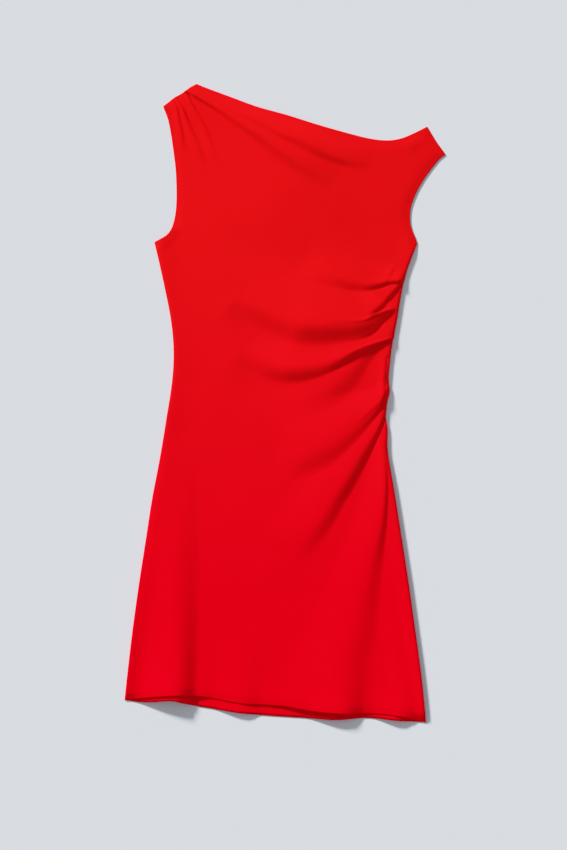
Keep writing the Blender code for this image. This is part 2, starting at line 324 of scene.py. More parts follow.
FRONT_HEM = (
    (-0.2210, -0.4080), (-0.2090, -0.4075), (-0.1940, -0.4058), (-0.1680, -0.4030),
    (-0.1380, -0.4022), (-0.1050, -0.4056), (-0.0720, -0.4118), (-0.0480, -0.4148),
    (-0.0240, -0.4158), (0.0010, -0.4178), (0.0220, -0.4216), (0.0450, -0.4248),
    (0.0690, -0.4266), (0.1180, -0.4280), (0.1430, -0.4290), (0.1650, -0.4325),
    (0.1800, -0.4370), (0.1940, -0.4390),
)
BACK_HEM = (
    (-0.2210, -0.4080), (-0.2020, -0.4110), (-0.1810, -0.4108), (-0.1650, -0.4091),
    (-0.1530, -0.4091), (-0.1400, -0.4124), (-0.1210, -0.4171), (-0.0990, -0.4207),
    (-0.0680, -0.4258), (-0.0360, -0.4292), (0.0180, -0.4330), (0.0770, -0.4358),
    (0.0940, -0.4345), (0.1100, -0.4338), (0.1510, -0.4372), (0.1940, -0.4400),
)

# %% [markdown]
# ## The plan
#
# A panel's plan is a grid: a straight row from the left edge to the right one at each
# height, which the hem and the neckline then bend, less and less away from them. Rows lie
# closer where the folds are, and columns closer at the sides, where the cloth turns over.

# %% Plan of a panel
LEFT_SHOULDER_END = 0.13      # shares of the top edge
RIGHT_SHOULDER_START = 0.89
UNDERARM = 0.78               # share of the way up a side
HEM_REACH, TOP_REACH = 3, 5   # powers by which the bends die out

Run = namedtuple("Run", "start end steps")
FRONT_COLUMNS = (
    Run(0.0, 0.02, 6), Run(0.02, LEFT_SHOULDER_END, 34), Run(LEFT_SHOULDER_END, 0.18, 14),
    Run(0.18, 0.45, 30), Run(0.45, RIGHT_SHOULDER_START, 88), Run(RIGHT_SHOULDER_START, 0.98, 26),
    Run(0.98, 1.0, 8),
)
FRONT_ROWS = (
    Run(0.0, 0.02, 8), Run(0.02, 0.30, 54), Run(0.30, 0.72, 204), Run(0.72, UNDERARM, 14),
    Run(UNDERARM, 0.98, 82), Run(0.98, 1.0, 8),
)
BACK_COLUMNS = (
    Run(0.0, LEFT_SHOULDER_END, 16), Run(LEFT_SHOULDER_END, 0.40, 30),
    Run(0.40, RIGHT_SHOULDER_START, 40), Run(RIGHT_SHOULDER_START, 1.0, 12),
)
BACK_ROWS = (Run(0.0, 0.12, 24), Run(0.12, UNDERARM, 60), Run(UNDERARM, 1.0, 40))


def grid_steps(runs):
    """The grid's places along one way, from its runs of even steps."""
    parts = [np.linspace(run.start, run.end, run.steps, endpoint=False) for run in runs]
    return np.concatenate(parts + [[runs[-1].end]])


def left_side(shares):
    return joined_curve(((0.0, UNDERARM, LEFT_SEAM), (UNDERARM, 1.0, LEFT_ARMHOLE)), shares)


def right_side(shares):
    return joined_curve(((0.0, UNDERARM, RIGHT_SEAM), (UNDERARM, 1.0, RIGHT_ARMHOLE)), shares)


def top_side(shares):
    pieces = (
        (0.0, LEFT_SHOULDER_END, LEFT_SHOULDER),
        (LEFT_SHOULDER_END, RIGHT_SHOULDER_START, NECKLINE),
        (RIGHT_SHOULDER_START, 1.0, RIGHT_SHOULDER),
    )
    return joined_curve(pieces, shares)


def panel_plan(hem, neck_drop, columns, rows):
    """Left edge to right edge in even shares, plus (1 - v) cubed times the hem's bend from
    its chord, plus v to the fifth times the top edge's."""
    top_edge = top_side(columns)
    neck = (columns - LEFT_SHOULDER_END) / (RIGHT_SHOULDER_START - LEFT_SHOULDER_END)
    top_edge[:, 1] -= neck_drop * np.sqrt(np.sin(np.pi * np.clip(neck, 0.0, 1.0)).clip(0.0))
    hem_edge = smooth_curve(hem, columns)
    u = columns[None, :, None]
    v = rows[:, None, None]
    across = (1 - u) * left_side(rows)[:, None] + u * right_side(rows)[:, None]
    hem_bend = hem_edge[None] - (1 - u) * hem_edge[0] - u * hem_edge[-1]
    top_bend = top_edge[None] - (1 - u) * top_edge[0] - u * top_edge[-1]
    return across + (1 - v) ** HEM_REACH * hem_bend + v**TOP_REACH * top_bend


BACK_NECK_DROP = 0.006
front_plan = panel_plan(FRONT_HEM, 0.0, grid_steps(FRONT_COLUMNS), grid_steps(FRONT_ROWS))
back_plan = panel_plan(
    BACK_HEM, BACK_NECK_DROP, grid_steps(BACK_COLUMNS), grid_steps(BACK_ROWS)
)
print("front grid", front_plan.shape[:2], "back grid", back_plan.shape[:2])

# %% [markdown]
# ## Folds
#
# Gravity and the gathers could be simulated, but a simulation would settle in folds of its
# own. These are listed, one row of a table each, where the real ones lie.
#
# Seen across, a fold of soft jersey climbs slowly, turns over in a round crest, and falls
# into a valley. So its height is a slow ramp up, times one less the square of the way down,
# to a power: near 1 the fall ends in a sharp valley, at 2 it is even, and at 4 it drops just
# behind the crest and runs out slowly. Near a seam, where the cloth is gathered, the crest
# stands up in a thin lip and leans over, and the valley beside it is pressed into a groove.

# %% Fold table
Fold = namedtuple(
    "Fold",
    "name route crest fall rise valley hand fade lip groove lean layers",
    defaults=(1, 1.0, 0.0, 0.0, 0.0, "front"),
)
# route runs from the fold's root to its tip, down the middle of its fall.
# crest, fall, rise and valley are each given at even places along it, from root to tip.
# hand is 1 where the fold falls to the left of someone who walks from the root, else -1.
# fade is the share of the route where the fold starts to die out.
# lip, groove and lean are given at the root.
# layers tells whether the front folds alone or the back lifts with it.
# A crest below 0 sinks the cloth, so such a fold is a trough.

WAIST_FOLDS = (
    Fold(
        "waist 1",
        route=((0.170, 0.1675), (0.160, 0.167), (0.1445, 0.1665), (0.129, 0.1625),
               (0.1155, 0.160), (0.099, 0.161), (0.080, 0.165), (0.058, 0.171), (0.024, 0.181)),
        crest=(0.0008, 0.0034, 0.0042, 0.0032, 0.0), fall=(0.005, 0.009, 0.015, 0.021, 0.024),
        rise=(0.012, 0.034, 0.056, 0.060, 0.060), valley=(1.3, 1.5, 1.6, 1.7, 1.8),
        lip=0.0005, groove=0.0012, lean=0.0004,
    ),
    Fold(
        "nick over waist 1",
        route=((0.151, 0.187), (0.1455, 0.178), (0.1395, 0.169)),
        crest=(0.0003, 0.0010, 0.0004), fall=(0.004, 0.004, 0.004), rise=(0.008, 0.008, 0.008),
        valley=(1.5, 1.5, 1.5),
    ),
    Fold(
        "waist 2",
        route=((0.169, 0.174), (0.162, 0.1675), (0.1535, 0.1580), (0.1445, 0.1480),
               (0.132, 0.1350), (0.118, 0.1240), (0.108, 0.118)),
        crest=(0.0014, 0.0028, 0.0034, 0.0036, 0.0028), fall=(0.004, 0.006, 0.008, 0.008, 0.007),
        rise=(0.010, 0.024, 0.040, 0.044, 0.040), valley=(1.3, 1.3, 1.3, 1.3, 1.3),
        fade=0.80, groove=0.0012, lean=0.0008,
    ),
    Fold(
        "waist 3",
        route=((0.153, 0.1290), (0.1445, 0.1255), (0.131, 0.1160), (0.117, 0.1050),
               (0.103, 0.0995), (0.0756, 0.0970), (0.048, 0.0955), (0.0205, 0.0975),
               (-0.002, 0.1040), (-0.022, 0.1130), (-0.044, 0.1260), (-0.066, 0.1430)),
        crest=(0.0010, 0.0066, 0.0084, 0.0078, 0.0056, 0.0024, 0.0),
        fall=(0.004, 0.026, 0.036, 0.038, 0.037, 0.032, 0.022),
        rise=(0.010, 0.060, 0.095, 0.105, 0.100, 0.090, 0.080),
        valley=(1.3, 2.4, 2.2, 2.0, 1.8, 1.8, 1.8), lip=0.0018, groove=0.0012, lean=0.0012,
    ),
    Fold(
        "trough under waist 3",
        route=((0.103, 0.0990), (0.0756, 0.0965), (0.048, 0.0950), (0.0205, 0.0970),
               (-0.002, 0.1035), (-0.022, 0.1125), (-0.044, 0.1260), (-0.068, 0.1440)),
        crest=(0.0, -0.0014, -0.0028, -0.0044, -0.0048, -0.0036, 0.0),
        fall=(0.036, 0.038, 0.038, 0.038, 0.036, 0.030, 0.022),
        rise=(0.030, 0.034, 0.040, 0.046, 0.050, 0.046, 0.040),
        valley=(3.0, 3.0, 3.0, 3.0, 3.0, 3.0, 3.0), hand=-1,
    ),
    Fold(
        "waist 4",
        route=((0.160, 0.092), (0.1486, 0.0895), (0.135, 0.0852), (0.117, 0.0785),
               (0.099, 0.0705), (0.0825, 0.0615), (0.0645, 0.0530), (0.045, 0.0465),
               (0.0205, 0.0420), (0.0, 0.0415), (-0.021, 0.0470), (-0.037, 0.0560),
               (-0.055, 0.0720)),
        crest=(0.0012, 0.0036, 0.0058, 0.0062, 0.0060, 0.0030, 0.0),
        fall=(0.003, 0.006, 0.011, 0.021, 0.029, 0.028, 0.022),
        rise=(0.008, 0.060, 0.090, 0.100, 0.095, 0.080, 0.070),
        valley=(1.2, 1.15, 1.2, 1.4, 1.6, 1.7, 1.8), lip=0.0012, groove=0.0026, lean=0.0018,
    ),
    Fold(
        "trough under waist 4",
        route=((0.060, 0.0500), (0.0205, 0.0415), (0.0, 0.0405), (-0.021, 0.0460),
               (-0.038, 0.0570), (-0.056, 0.0740)),
        crest=(0.0, -0.0016, -0.0026, -0.0022, 0.0), fall=(0.024, 0.028, 0.028, 0.026, 0.022),
        rise=(0.040, 0.046, 0.050, 0.046, 0.040), valley=(3.0, 3.0, 3.0, 3.0, 3.0), hand=-1,
    ),
    Fold(
        "waist 5",
        route=((0.130, 0.082), (0.118, 0.0695), (0.107, 0.055), (0.098, 0.042), (0.089, 0.031),
               (0.079, 0.021), (0.067, 0.011), (0.052, 0.003), (0.034, -0.004), (0.014, -0.010),
               (-0.010, -0.016)),
        crest=(0.0006, 0.0034, 0.0036, 0.0022, 0.0), fall=(0.010, 0.022, 0.031, 0.031, 0.030),
        rise=(0.014, 0.044, 0.060, 0.064, 0.060), valley=(1.7, 1.7, 1.8, 1.9, 1.9),
    ),
    Fold(
        "waist tuck",
        route=((0.1395, 0.066), (0.1385, 0.048), (0.1368, 0.028), (0.1345, 0.006)),
        crest=(0.0003, 0.0020, 0.0014), fall=(0.005, 0.004, 0.004), rise=(0.010, 0.010, 0.009),
        valley=(1.5, 1.4, 1.2), groove=0.0010, fade=0.92,
    ),
)
HIP_FOLDS = (
    Fold(
        "hip 1",
        route=((0.149, 0.030), (0.143, 0.019), (0.137, 0.005), (0.126, -0.0085),
               (0.107, -0.0285), (0.088, -0.0470), (0.070, -0.0630), (0.053, -0.0750),
               (0.034, -0.083), (0.016, -0.089), (-0.004, -0.098)),
        crest=(0.0012, 0.0050, 0.0062, 0.0056, 0.0), fall=(0.005, 0.015, 0.023, 0.031, 0.036),
        rise=(0.008, 0.040, 0.064, 0.074, 0.070), valley=(1.3, 1.25, 1.5, 1.7, 1.8),
        lip=0.0006, groove=0.0018, lean=0.0008,
    ),
    Fold(
        "hip 2",
        route=((0.142, -0.004), (0.138, -0.014), (0.1305, -0.0310), (0.1165, -0.0580),
               (0.1025, -0.0840), (0.0885, -0.1090), (0.0750, -0.1310), (0.0600, -0.1580),
               (0.0450, -0.1800), (0.0305, -0.2000), (0.0140, -0.2230)),
        crest=(0.0012, 0.0042, 0.0052, 0.0040, 0.0), fall=(0.004, 0.014, 0.020, 0.024, 0.028),
        rise=(0.008, 0.036, 0.054, 0.060, 0.060), valley=(1.3, 1.5, 1.6, 1.8, 1.9),
        groove=0.0014, lean=0.0008,
    ),
)
SKIRT_FOLDS = (
    Fold(
        "right skirt",
        route=((0.1400, -0.055), (0.1390, -0.095), (0.1378, -0.133), (0.1345, -0.170),
               (0.1285, -0.205), (0.1180, -0.270), (0.1090, -0.320), (0.1035, -0.345),
               (0.0990, -0.395), (0.0965, -0.430), (0.0950, -0.460)),
        crest=(0.0014, 0.0046, 0.0046, 0.0052, 0.0036), fall=(0.006, 0.0105, 0.027, 0.044, 0.054),
        rise=(0.014, 0.040, 0.060, 0.080, 0.090), valley=(1.3, 1.4, 1.8, 2.0, 2.0),
    ),
    Fold(
        "right skirt edge",
        route=((0.142, -0.215), (0.149, -0.275), (0.157, -0.328), (0.166, -0.375),
               (0.174, -0.420), (0.180, -0.460)),
        crest=(0.0, 0.0009, 0.0012, 0.0013, 0.0013), fall=(0.012, 0.014, 0.016, 0.018, 0.018),
        rise=(0.016, 0.018, 0.020, 0.022, 0.022), valley=(1.8, 1.8, 1.8, 1.8, 1.8),
    ),
    Fold(
        "left skirt",
        route=((-0.136, -0.040), (-0.1345, -0.140), (-0.1335, -0.240), (-0.1340, -0.340),
               (-0.1365, -0.400), (-0.140, -0.450)),
        crest=(0.0, 0.0022, 0.0052, 0.0080, 0.0150), fall=(0.034, 0.036, 0.034, 0.030, 0.028),
        rise=(0.040, 0.046, 0.054, 0.060, 0.056), valley=(2.0, 2.0, 2.0, 1.8, 1.6),
        layers="both",
    ),
)
HEM_WAVES = (
    Fold(
        "hem wave 1",
        route=((-0.042, -0.290), (-0.045, -0.360), (-0.047, -0.450)),
        crest=(0.0, 0.0012, 0.0056), fall=(0.032, 0.032, 0.028), rise=(0.044, 0.044, 0.040),
        valley=(1.8, 1.8, 1.8), layers="both",
    ),
    Fold(
        "hem wave 2",
        route=((0.096, -0.320), (0.094, -0.390), (0.092, -0.460)),
        crest=(0.0, 0.0016, 0.0092), fall=(0.036, 0.034, 0.028), rise=(0.052, 0.052, 0.050),
        valley=(1.8, 1.8, 1.8), layers="both",
    ),
    Fold(
        "hem wave 3",
        route=((0.162, -0.340), (0.166, -0.400), (0.168, -0.460)),
        crest=(0.0, 0.0014, 0.0074), fall=(0.028, 0.028, 0.028), rise=(0.030, 0.034, 0.036),
        valley=(1.8, 1.8, 1.8), layers="both",
    ),
)
SHOULDER_PLEATS = (
    Fold(
        "long pleat",
        route=((-0.148, 0.4345), (-0.1365, 0.4285), (-0.118, 0.4180), (-0.0905, 0.4005),
               (-0.063, 0.3815), (-0.0358, 0.3620), (-0.0085, 0.3415), (0.019, 0.3220),
               (0.062, 0.2960)),
        crest=(0.0014, 0.0024, 0.0046, 0.0044, 0.0), fall=(0.004, 0.007, 0.013, 0.019, 0.022),
        rise=(0.008, 0.026, 0.044, 0.060, 0.060), valley=(2.5, 3.0, 3.0, 2.6, 2.4),
        hand=-1, lip=0.0012, groove=0.0004, lean=0.0004,
    ),
    Fold(
        "long pleat's shade",
        route=((-0.083, 0.392), (-0.060, 0.369), (-0.040, 0.348), (-0.012, 0.326), (0.018, 0.302)),
        crest=(0.0002, 0.0010, 0.0008), fall=(0.012, 0.018, 0.020), rise=(0.016, 0.022, 0.024),
        valley=(1.8, 1.8, 1.8), hand=-1, fade=0.50,
    ),
    Fold(
        "neck trough",
        route=((-0.075, 0.402), (-0.041, 0.3870), (-0.008, 0.3690), (0.0195, 0.3570),
               (0.047, 0.3430), (0.075, 0.3325), (0.095, 0.328), (0.120, 0.326)),
        crest=(0.0004, 0.0020, 0.0034, 0.0026, 0.0), fall=(0.006, 0.009, 0.013, 0.013, 0.012),
        rise=(0.012, 0.018, 0.026, 0.028, 0.028), valley=(3.0, 2.5, 2.2, 2.2, 2.2), hand=-1,
    ),
    Fold(
        "pleat 2",
        route=((-0.138, 0.434), (-0.1330, 0.423), (-0.1227, 0.4042), (-0.1144, 0.3904),
               (-0.1075, 0.3766), (-0.0995, 0.3560), (-0.0900, 0.3350), (-0.080, 0.313)),
        crest=(0.0020, 0.0026, 0.0018, 0.0014, 0.0008), fall=(0.004, 0.004, 0.005, 0.008, 0.010),
        rise=(0.006, 0.008, 0.010, 0.014, 0.016), valley=(2.0, 2.0, 2.0, 2.0, 2.0),
        fade=0.60, lip=0.0012, groove=0.0008,
    ),
    Fold(
        "pleat 3",
        route=((-0.154, 0.430), (-0.1485, 0.4200), (-0.1392, 0.4042), (-0.1337, 0.3904),
               (-0.1282, 0.3766), (-0.1185, 0.3560), (-0.1095, 0.3353), (-0.102, 0.316)),
        crest=(0.0020, 0.0028, 0.0022, 0.0016, 0.0008), fall=(0.004, 0.004, 0.005, 0.007, 0.009),
        rise=(0.006, 0.008, 0.010, 0.014, 0.016), valley=(2.0, 2.0, 2.0, 2.0, 2.0),
        fade=0.66, lip=0.0012, groove=0.0010,
    ),
    Fold(
        "pleat 4",
        route=((-0.156, 0.424), (-0.1475, 0.4042), (-0.1447, 0.3904), (-0.1420, 0.3766),
               (-0.1388, 0.356), (-0.1365, 0.336)),
        crest=(0.0014, 0.0020, 0.0018, 0.0014, 0.0008), fall=(0.004, 0.004, 0.005, 0.006, 0.008),
        rise=(0.005, 0.007, 0.008, 0.010, 0.012), valley=(2.0, 2.0, 2.0, 2.0, 2.0), fade=0.60,
        lip=0.0010, groove=0.0008,
    ),
    Fold(
        "right shoulder crease",
        route=((0.186, 0.358), (0.176, 0.350), (0.164, 0.340)),
        crest=(0.0003, 0.0008, 0.0004), fall=(0.010, 0.012, 0.012), rise=(0.012, 0.014, 0.014),
        valley=(1.8, 1.8, 1.8), fade=0.30,
    ),
    Fold(
        "underarm slope",
        route=((-0.196, 0.2080), (-0.184, 0.2120), (-0.172, 0.2180), (-0.161, 0.2260),
               (-0.150, 0.2380), (-0.142, 0.252)),
        crest=(0.0034, 0.0034, 0.0026, 0.0010), fall=(0.020, 0.020, 0.018, 0.016),
        rise=(0.005, 0.005, 0.005, 0.005), valley=(2.0, 2.0, 2.0, 2.0), hand=-1, fade=0.70,
    ),
)
FOLDS = WAIST_FOLDS + HIP_FOLDS + SKIRT_FOLDS + HEM_WAVES + SHOULDER_PLEATS
print(len(FOLDS), "folds:", ", ".join(fold.name for fold in FOLDS))

# %% Fold shape
ROUTE_SAMPLES = 100
LIP_WIDTH = 0.0020
GROOVE_WIDTH = 0.0024
BLEND_LEAST, BLEND_SHARE = 0.003, 0.45
GATHER_START, GATHER_END = 0.05, 0.45   # shares of the route between which lips stand up
SEAM_EASE = 0.010            # crests rise to their height over this way from a side seam
POINTS_AT_ONCE = 6000        # so that an array of all distances stays small


def along(values, share):
    """A smooth curve through values at even places, at the given shares of the way."""
    return smooth_curve([(place, value) for place, value in enumerate(values)], share)[:, 1]


def extended_route(fold):
    """(samples, headings, spacing, first) of a fold's route, carried straight on past both
    ends by its widest rise. The route itself starts at sample number `first`."""
    inner = smooth_curve(fold.route, np.linspace(0.0, 1.0, ROUTE_SAMPLES))
    spacing = np.linalg.norm(np.diff(inner, axis=0), axis=1).mean()
    more = 1 + int(max(fold.rise) / spacing)
    steps = spacing * np.arange(1, more + 1)[:, None]
    ahead = np.gradient(inner, axis=0)
    ahead /= np.linalg.norm(ahead, axis=1)[:, None]
    before = inner[0] - ahead[0] * steps[::-1]
    after = inner[-1] + ahead[-1] * steps
    route = np.concatenate((before, inner, after))
    heading = np.gradient(route, axis=0)
    return route, heading / np.linalg.norm(heading, axis=1)[:, None], spacing, more


def place_by_route(points, route, heading, spacing):
    """(distance to the left, sample number, heading) of each point, seen from a route.

    Each is an average over the route's samples. A sample weighs e to the minus (its squared
    distance less the least one, over the blend squared). The blend grows with the distance,
    so on the route the place is exact, and far inside a bend no line shows where the nearest
    sample jumps from one arm of the bend to the other.
    """
    places = []
    for part in np.array_split(points, 1 + len(points) // POINTS_AT_ONCE):
        away = part[:, None] - route[None]
        squared = (away**2).sum(axis=2)
        least = squared.min(axis=1, keepdims=True)
        blend = BLEND_LEAST + BLEND_SHARE * np.sqrt(least)
        weight = np.exp((least - squared) / blend**2)
        weight /= weight.sum(axis=1, keepdims=True)
        left = heading[None, :, 0] * away[..., 1] - heading[None, :, 1] * away[..., 0]
        onward = (heading[None] * away).sum(axis=2) / spacing
        number = (weight * (onward + np.arange(len(route)))).sum(axis=1)
        places.append(np.column_stack(((weight * left).sum(axis=1), number, weight @ heading)))
    found = np.concatenate(places)
    return found[:, 0], found[:, 1], found[:, 2:]


def fold_lift(plan, seam_distance, fold):
    """(height, sideways shift) that one fold gives each point of the plan.

    A point's place in the fold is its share along the route and how far it lies off it, to
    the falling hand. With t the share of the way down the fall, the height is the crest
    times the ramp up the rise, times one less t squared, to the valley's power. The lip is
    a bell on the crest, and the groove one under the valley. The shift leans the crest
    towards the falling hand.
    """
    route, heading, spacing, first = extended_route(fold)
    reach = max(fold.rise) + max(fold.fall)
    flat = plan.reshape(-1, 2)
    near = ((flat > route.min(axis=0) - reach) & (flat < route.max(axis=0) + reach)).all(axis=1)
    off, number, ahead = place_by_route(flat[near], route, heading, spacing)
    off = fold.hand * off
    share = (number - first) / (ROUTE_SAMPLES - 1)
    past = np.maximum(-share, share - 1).clip(0.0) * spacing * (ROUTE_SAMPLES - 1)
    share = share.clip(0.0, 1.0)
    crest = along(fold.crest, share)
    fall = along(fold.fall, share)
    rise = along(fold.rise, share)
    valley = along(fold.valley, share)
    if fold.fade < 1.0:
        crest = crest * ramp((1 - share) / (1 - fold.fade))
    crest = crest * ramp(1 - past / rise)
    crest = crest * ramp(seam_distance.reshape(-1)[near] / SEAM_EASE)
    t = np.clip(off / fall + 0.5, 0.0, 1.0)
    climb = ramp((off + fall / 2 + rise) / rise)
    drop = (1 - t**2) ** valley
    sunk = ramp(1 - share / GATHER_END) * ramp(share / GATHER_START)
    lip = np.exp(-(((off + fall / 2) / LIP_WIDTH) ** 2))
    groove = np.exp(-(((off - fall / 3) / GROOVE_WIDTH) ** 2))
    height = np.zeros(len(flat))
    height[near] = crest * climb * drop + sunk * (fold.lip * lip - fold.groove * groove)
    shift = np.zeros(flat.shape)
    side = fold.hand * np.stack((-ahead[:, 1], ahead[:, 0]), axis=1)
    shift[near] = (fold.lean * sunk * climb**3 * drop**2)[:, None] * side
    return height.reshape(plan.shape[:2]), shift.reshape(plan.shape)


def folds_lift(plan, seam_distance, layers):
    """The sum of what the folds of these layers give."""
    lifts = [fold_lift(plan, seam_distance, fold) for fold in FOLDS if fold.layers == layers]
    return sum(height for height, _ in lifts), sum(shift for _, shift in lifts)


# %% [markdown]
# ## Two layers on the floor
#
# The back lies flat, and lifts only in the waves of the hem. The front lies on it. At a
# side seam it turns over in a round roll, and at an open edge, such as the neck or an
# armhole, it ends in a turned edge two layers thick. In between, jersey is never quite
# flat, so a few very low, wide swells run through it.

# %% Heights of the layers
WALL = 0.0008             # a layer of jersey
LAYER_GAP = 0.0002
WAVE_BRIDGE = 0.0002      # spare air between the layers in a shared wave
EDGE_HEIGHT = 0.0012      # of the front's face at an open edge
EDGE_ROLL = 0.0004
EDGE_ROLL_RADIUS = 0.0020
EDGE_FADE = 0.0080        # how wide the edge's height fades into the panel
REST_HEIGHT = 0.0028      # of the front's face away from edges and folds
SWELL_HEIGHT = 0.0003
# Radians a metre across, radians a metre up, and the phase, of each low swell.
SWELLS = (
    (46.0, 22.0, 0.4), (-34.0, 62.0, 1.9), (82.0, -26.0, 3.1), (18.0, 94.0, 4.4),
    (-74.0, -58.0, 5.3),
)
# A side seam: the height where the front meets the back, the roll that stands over it, its
# radius, and how wide the roll fades into the panel.
SEAM_START, SEAM_ROLL, SEAM_RADIUS, SEAM_FADE = 0.0022, 0.0022, 0.0050, 0.020
LOW_RIGHT_START, LOW_RIGHT_ROLL = 0.0042, 0.0026
LOW_LEFT_ROLL, LOW_LEFT_RADIUS, LOW_LEFT_FADE = 0.0044, 0.0018, 0.0150
# Each of the two low stretches starts at a height on the skirt, comes in over a way
# down, and is whole at this way out from the middle line.
LOW_RIGHT_FROM, LOW_RIGHT_OVER = -0.02, 0.10
LOW_LEFT_FROM, LOW_LEFT_OVER = -0.12, 0.24
LOW_SIDE_OVER = 0.05
# The left one keeps this share at the hem, and grows to all of it over a way up.
HEM_SHARE, HEM_PLACE, HEM_OVER = 0.45, -0.405, 0.05
EDGE_SAMPLES = 700

Mound = namedtuple("Mound", "name middle reach height")
MOUNDS = (
    Mound("bodice", (-0.010, 0.275), (0.110, 0.100), 0.0070),
    Mound("waist", (-0.010, 0.110), (0.120, 0.085), 0.0046),
    Mound("hip", (0.010, 0.000), (0.120, 0.090), 0.0024),
    Mound("skirt", (0.010, -0.190), (0.120, 0.110), 0.0024),
    Mound("left gape of the hem", (-0.176, -0.420), (0.034, 0.026), 0.0020),
    Mound("bridge beside the left wave", (-0.126, -0.424), (0.017, 0.034), 0.0036),
    Mound("middle gape of the hem", (0.000, -0.430), (0.044, 0.028), 0.0018),
)


def distance_to(plan, edge):
    """How far each point of the plan lies from the nearest sample of an edge."""
    flat = plan.reshape(-1, 2)
    rows = [
        np.sqrt(((part[:, None] - edge[None]) ** 2).sum(axis=2).min(axis=1))
        for part in np.array_split(flat, 1 + len(flat) // POINTS_AT_ONCE)
    ]
    return np.concatenate(rows).reshape(plan.shape[:2])


def quarter_round(distance, radius):
    """The height, as a share, of a quarter circle of that radius that starts upright."""
    return np.sqrt(1 - (1 - np.clip(distance / radius, 0.0, 1.0)) ** 2)


def swells(plan):
    """Low waves across the cloth, as a sum of a few sines with unlike lengths and headings."""
    x, y = plan[..., 0], plan[..., 1]
    return sum(np.sin(a * x + b * y + phase) for a, b, phase in SWELLS) / len(SWELLS)


def mounds(plan):
    """Air between the layers lifts the front in wide, low bells."""
    return sum(
        mound.height * np.exp(-(((plan - mound.middle) / mound.reach) ** 2).sum(axis=2))
        for mound in MOUNDS
    )


def seam_distance(plan, row_shares):
    """How far each point lies from the nearer side seam, and exactly 0 on it."""
    shares = np.linspace(0.0, UNDERARM, EDGE_SAMPLES)
    found = distance_to(plan, np.concatenate((left_side(shares), right_side(shares))))
    found[row_shares <= UNDERARM, 0] = 0.0
    found[row_shares <= UNDERARM, -1] = 0.0
    return found


def open_edge_distance(plan, row_shares):
    """How far each point lies from an armhole, the top edge or the hem, and 0 on them."""
    shares = np.linspace(UNDERARM, 1.0, EDGE_SAMPLES)
    top = top_side(np.linspace(0.0, 1.0, EDGE_SAMPLES))
    found = distance_to(plan, np.concatenate((left_side(shares), right_side(shares), top)))
    found = np.minimum(found, distance_to(plan, plan[0]))
    found[row_shares > UNDERARM, 0] = 0.0
    found[row_shares > UNDERARM, -1] = 0.0
    return found


def front_face(plan, to_seam, to_edge, folds):
    """The height of the front's outer face: seam or edge height, plus the roll, plus folds.

    Low on the right the seam stands higher, and low on the left its roll is narrow and tall,
    as the photograph's shadow and shading show.
    """
    x, y = plan[..., 0], plan[..., 1]
    low_right = ramp((LOW_RIGHT_FROM - y) / LOW_RIGHT_OVER) * ramp(x / LOW_SIDE_OVER)
    low_left = ramp((LOW_LEFT_FROM - y) / LOW_LEFT_OVER) * ramp(-x / LOW_SIDE_OVER)
    above_hem = ramp((y - HEM_PLACE) / HEM_OVER)
    low_left = low_left * (HEM_SHARE + (1 - HEM_SHARE) * above_hem)
    start = SEAM_START + (LOW_RIGHT_START - SEAM_START) * low_right
    roll = SEAM_ROLL + (LOW_RIGHT_ROLL - SEAM_ROLL) * low_right
    roll = roll + (LOW_LEFT_ROLL - SEAM_ROLL) * low_left
    radius = SEAM_RADIUS + (LOW_LEFT_RADIUS - SEAM_RADIUS) * ramp(low_left * 2)
    fade = SEAM_FADE + (LOW_LEFT_FADE - SEAM_FADE) * low_left
    seam_roll = start + roll * quarter_round(to_seam, radius)
    edge_roll = EDGE_HEIGHT + EDGE_ROLL * quarter_round(to_edge, EDGE_ROLL_RADIUS)
    inside = REST_HEIGHT + SWELL_HEIGHT * swells(plan)
    face = inside + (seam_roll - inside) * np.exp(-((to_seam / fade) ** 2))
    by_edge = np.exp(-((to_edge / EDGE_FADE) ** 2))
    face = face + (np.minimum(edge_roll, seam_roll) - face) * by_edge
    return face + quarter_round(to_seam, radius) * folds


front_rows = grid_steps(FRONT_ROWS)
back_rows = grid_steps(BACK_ROWS)
front_to_seam = seam_distance(front_plan, front_rows)
front_to_edge = open_edge_distance(front_plan, front_rows)
front_folds, front_lean = folds_lift(front_plan, front_to_seam, "front")
front_waves, _ = folds_lift(front_plan, front_to_seam, "both")
back_waves, _ = folds_lift(back_plan, seam_distance(back_plan, back_rows), "both")
front_height = front_face(
    front_plan, front_to_seam, front_to_edge, front_folds + mounds(front_plan)
)
front_height += front_waves + WAVE_BRIDGE * ramp(front_waves / WALL)
front_face_points = np.dstack((front_plan + front_lean, front_height))
back_face_points = np.dstack((back_plan, back_waves + WALL))
print("front's face from", round(float(front_height.min()) * 1000, 1), "to",
      round(float(front_height.max()) * 1000, 1), "mm above the floor")

# %% [markdown]
# ## From a face to cloth
#
# Cloth has two sides. The outer side is the grid itself. The inner side is set back by the
# wall along the surface's own direction, and needs only every second point, because nobody
# sees its detail. A strip of five-sided faces closes the rim between the two.

# %% Cloth shells


def face_directions(points):
    """The outward direction at each grid point: the cross product of its two grid ways."""
    across = np.gradient(points, axis=1)
    upward = np.gradient(points, axis=0)
    direction = np.cross(across, upward)
    return direction / np.linalg.norm(direction, axis=2)[..., None]


def grid_faces(number):
    """Four-sided faces of a grid of point numbers."""
    corners = (number[:-1, :-1], number[:-1, 1:], number[1:, 1:], number[1:, :-1])
    return np.stack(corners, axis=-1).reshape(-1, 4)


def around(number):
    """The numbers round a grid's rim, counter-clockwise, starting at its first corner."""
    return np.concatenate(
        (number[0, :-1], number[:-1, -1], number[-1, :0:-1], number[:0:-1, 0])
    )


